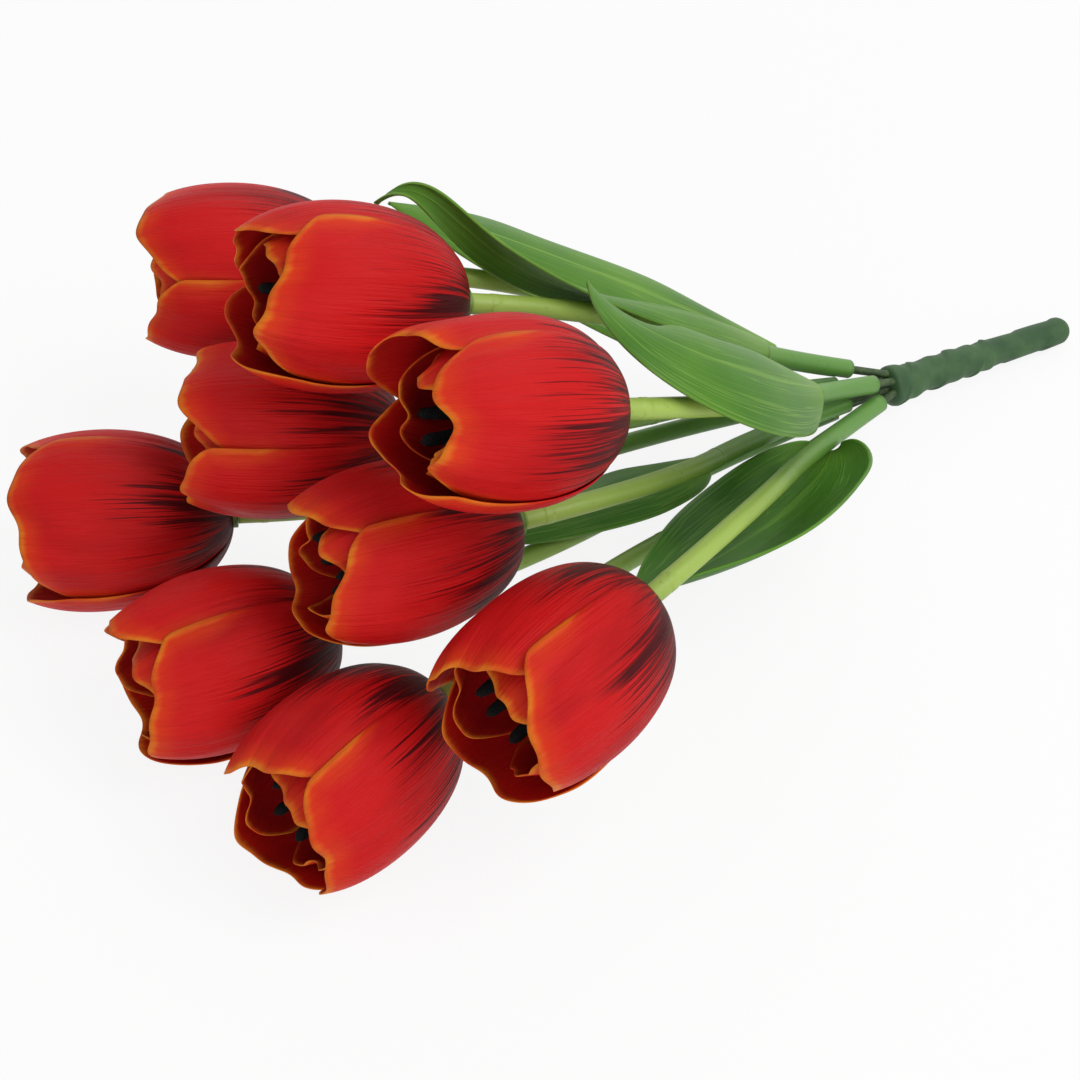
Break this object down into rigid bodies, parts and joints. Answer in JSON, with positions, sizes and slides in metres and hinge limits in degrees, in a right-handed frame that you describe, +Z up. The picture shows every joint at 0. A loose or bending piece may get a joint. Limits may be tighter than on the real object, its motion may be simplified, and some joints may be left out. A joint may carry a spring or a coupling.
{
  "type": "artificial tulip bunch",
  "caption": "Bunch of artificial tulips lying on its side: red cloth heads and green leaves on wired stems that bend from one moulded handle.",
  "frame": {"origin": "on the table, under the middle of the bunch's bounding box", "axes": "+X along the bunch from the flowers to the handle, +Z up from the table that the bunch lies on"},
  "size_m": [0.3432, 0.234, 0.1498],
  "materials": {
    "handle": "moulded, satin",
    "stem_wire": "coated, matt",
    "stem_sleeve": "soft plastic, satin",
    "flower_hub": "moulded, matt",
    "outer_petals": "satin cloth with printed veins and a yellow-orange rim",
    "inner_petals": "satin cloth, darker towards the base",
    "stamens": "flocked, matt",
    "leaves": "satin cloth with pressed veins"
  },
  "bodies": {
    "handle": {"handle": "handle"},
    "stem_1": {"stem_wire_1": "stem_wire", "stem_sleeve_1": "stem_sleeve"},
    "head_1": {"flower_hub_1": "flower_hub", "outer_petals_1": "outer_petals", "inner_petals_1": "inner_petals", "stamens_1": "stamens"},
    "stem_2": {"stem_wire_2": "stem_wire", "stem_sleeve_2": "stem_sleeve"},
    "head_2": {"flower_hub_2": "flower_hub", "outer_petals_2": "outer_petals", "inner_petals_2": "inner_petals", "stamens_2": "stamens"},
    "stem_3": {"stem_wire_3": "stem_wire", "stem_sleeve_3": "stem_sleeve"},
    "head_3": {"flower_hub_3": "flower_hub", "outer_petals_3": "outer_petals", "inner_petals_3": "inner_petals", "stamens_3": "stamens"},
    "stem_4": {"stem_wire_4": "stem_wire", "stem_sleeve_4": "stem_sleeve"},
    "head_4": {"flower_hub_4": "flower_hub", "outer_petals_4": "outer_petals", "inner_petals_4": "inner_petals", "stamens_4": "stamens"},
    "stem_5": {"stem_wire_5": "stem_wire", "stem_sleeve_5": "stem_sleeve"},
    "head_5": {"flower_hub_5": "flower_hub", "outer_petals_5": "outer_petals", "inner_petals_5": "inner_petals", "stamens_5": "stamens"},
    "stem_6": {"stem_wire_6": "stem_wire", "stem_sleeve_6": "stem_sleeve"},
    "head_6": {"flower_hub_6": "flower_hub", "outer_petals_6": "outer_petals", "inner_petals_6": "inner_petals", "stamens_6": "stamens"},
    "stem_7": {"stem_wire_7": "stem_wire", "stem_sleeve_7": "stem_sleeve"},
    "head_7": {"flower_hub_7": "flower_hub", "outer_petals_7": "outer_petals", "inner_petals_7": "inner_petals", "stamens_7": "stamens"},
    "stem_8": {"stem_wire_8": "stem_wire", "stem_sleeve_8": "stem_sleeve"},
    "head_8": {"flower_hub_8": "flower_hub", "outer_petals_8": "outer_petals", "inner_petals_8": "inner_petals", "stamens_8": "stamens"},
    "stem_9": {"stem_wire_9": "stem_wire", "stem_sleeve_9": "stem_sleeve"},
    "head_9": {"flower_hub_9": "flower_hub", "outer_petals_9": "outer_petals", "inner_petals_9": "inner_petals", "stamens_9": "stamens"},
    "rear_leaf": {"rear_leaf": "leaves"},
    "arched_leaf": {"arched_leaf": "leaves"},
    "front_leaf": {"front_leaf": "leaves"},
    "low_leaf": {"low_leaf": "leaves"},
    "under_leaf": {"under_leaf": "leaves"}
  },
  "joints": [
    {"name": "stem_bend_1", "type": "hinge", "parent": "handle", "child": "stem_1", "pos_m": [0.098, 0.00029, 0.01503], "axis": [0.1655, 0.789, -0.5917], "range_deg": [0, 20]},
    {"name": "stem_bend_2", "type": "hinge", "parent": "handle", "child": "stem_2", "pos_m": [0.09795, -0.00296, 0.0172], "axis": [0.0369, 0.9799, -0.196], "range_deg": [0, 20]},
    {"name": "stem_bend_3", "type": "hinge", "parent": "handle", "child": "stem_3", "pos_m": [0.0977, -0.00622, 0.01663], "axis": [0.0598, 0.8928, 0.4464], "range_deg": [0, 20]},
    {"name": "stem_bend_4", "type": "hinge", "parent": "handle", "child": "stem_4", "pos_m": [0.09696, -0.0024, 0.0142], "axis": [-0.1135, 0.4443, -0.8887], "range_deg": [0, 3]},
    {"name": "stem_bend_5", "type": "hinge", "parent": "handle", "child": "stem_5", "pos_m": [0.09728, -0.00031, 0.01081], "axis": [0.0742, 0, -0.9972], "range_deg": [0, 20]},
    {"name": "stem_bend_6", "type": "hinge", "parent": "handle", "child": "stem_6", "pos_m": [0.09662, -0.0032, 0.0106], "axis": [-0.1045, -0.9945, 0], "range_deg": [0, 6]},
    {"name": "stem_bend_7", "type": "hinge", "parent": "handle", "child": "stem_7", "pos_m": [0.09669, -0.00532, 0.01357], "axis": [-0.0698, 0.9976, 0], "range_deg": [0, 2]},
    {"name": "stem_bend_8", "type": "hinge", "parent": "handle", "child": "stem_8", "pos_m": [0.0967, -0.00616, 0.01039], "axis": [0.0487, -0.7991, 0.5993], "range_deg": [0, 6]},
    {"name": "stem_bend_9", "type": "hinge", "parent": "handle", "child": "stem_9", "pos_m": [0.09725, -0.0082, 0.01357], "axis": [0.0825, 0.2417, 0.9668], "range_deg": [0, 20]},
    {"name": "head_twist_1", "type": "hinge", "parent": "stem_1", "child": "head_1", "pos_m": [-0.04811, 0.06903, 0.07105], "axis": [-0.8655, 0.4997, 0.0349], "continuous": true},
    {"name": "head_twist_2", "type": "hinge", "parent": "stem_2", "child": "head_2", "pos_m": [-0.05064, 0.0029, 0.10719], "axis": [-0.9237, 0.2475, 0.2924], "continuous": true},
    {"name": "head_twist_3", "type": "hinge", "parent": "stem_3", "child": "head_3", "pos_m": [-0.04039, -0.05546, 0.10871], "axis": [-0.9345, 0.0982, 0.342], "continuous": true},
    {"name": "head_twist_4", "type": "hinge", "parent": "stem_4", "child": "head_4", "pos_m": [-0.06809, 0.00906, 0.06411], "axis": [-0.8808, 0.4683, 0.0698], "continuous": true},
    {"name": "head_twist_5", "type": "hinge", "parent": "stem_5", "child": "head_5", "pos_m": [-0.10771, 0.0409, 0.02624], "axis": [-0.8829, 0.4695, 0], "continuous": true},
    {"name": "head_twist_6", "type": "hinge", "parent": "stem_6", "child": "head_6", "pos_m": [-0.10376, -0.01389, 0.02624], "axis": [-0.9903, 0.1392, 0], "continuous": true},
    {"name": "head_twist_7", "type": "hinge", "parent": "stem_7", "child": "head_7", "pos_m": [-0.06044, -0.03989, 0.06615], "axis": [-0.9879, 0.1388, 0.0698], "continuous": true},
    {"name": "head_twist_8", "type": "hinge", "parent": "stem_8", "child": "head_8", "pos_m": [-0.09413, -0.05305, 0.02678], "axis": [-0.9611, -0.2756, -0.0175], "continuous": true},
    {"name": "head_twist_9", "type": "hinge", "parent": "stem_9", "child": "head_9", "pos_m": [-0.04504, -0.07934, 0.06177], "axis": [-0.9646, -0.2585, -0.0523], "continuous": true},
    {"name": "rear_leaf_bend", "type": "hinge", "parent": "stem_1", "child": "rear_leaf", "pos_m": [0.06722, 0.01434, 0.02999], "axis": [0.3712, 0.925, -0.0816], "range_deg": [0, 15]},
    {"name": "arched_leaf_bend", "type": "hinge", "parent": "stem_2", "child": "arched_leaf", "pos_m": [0.05212, 0.00104, 0.04855], "axis": [-0.0338, 0.9994, 0], "range_deg": [0, 15]},
    {"name": "front_leaf_bend", "type": "hinge", "parent": "stem_3", "child": "front_leaf", "pos_m": [0.0581, -0.01926, 0.04283], "axis": [-0.0763, 0.8742, 0.4795], "range_deg": [0, 15]},
    {"name": "low_leaf_bend", "type": "hinge", "parent": "stem_9", "child": "low_leaf", "pos_m": [0.06056, -0.02422, 0.01891], "axis": [0.5224, -0.7892, 0.3229], "range_deg": [0, 10]},
    {"name": "under_leaf_bend", "type": "hinge", "parent": "stem_6", "child": "under_leaf", "pos_m": [0.0303, -0.0012, 0.01348], "axis": [-0.1192, 0.9891, -0.0868], "range_deg": [0, 8]}
  ]
}
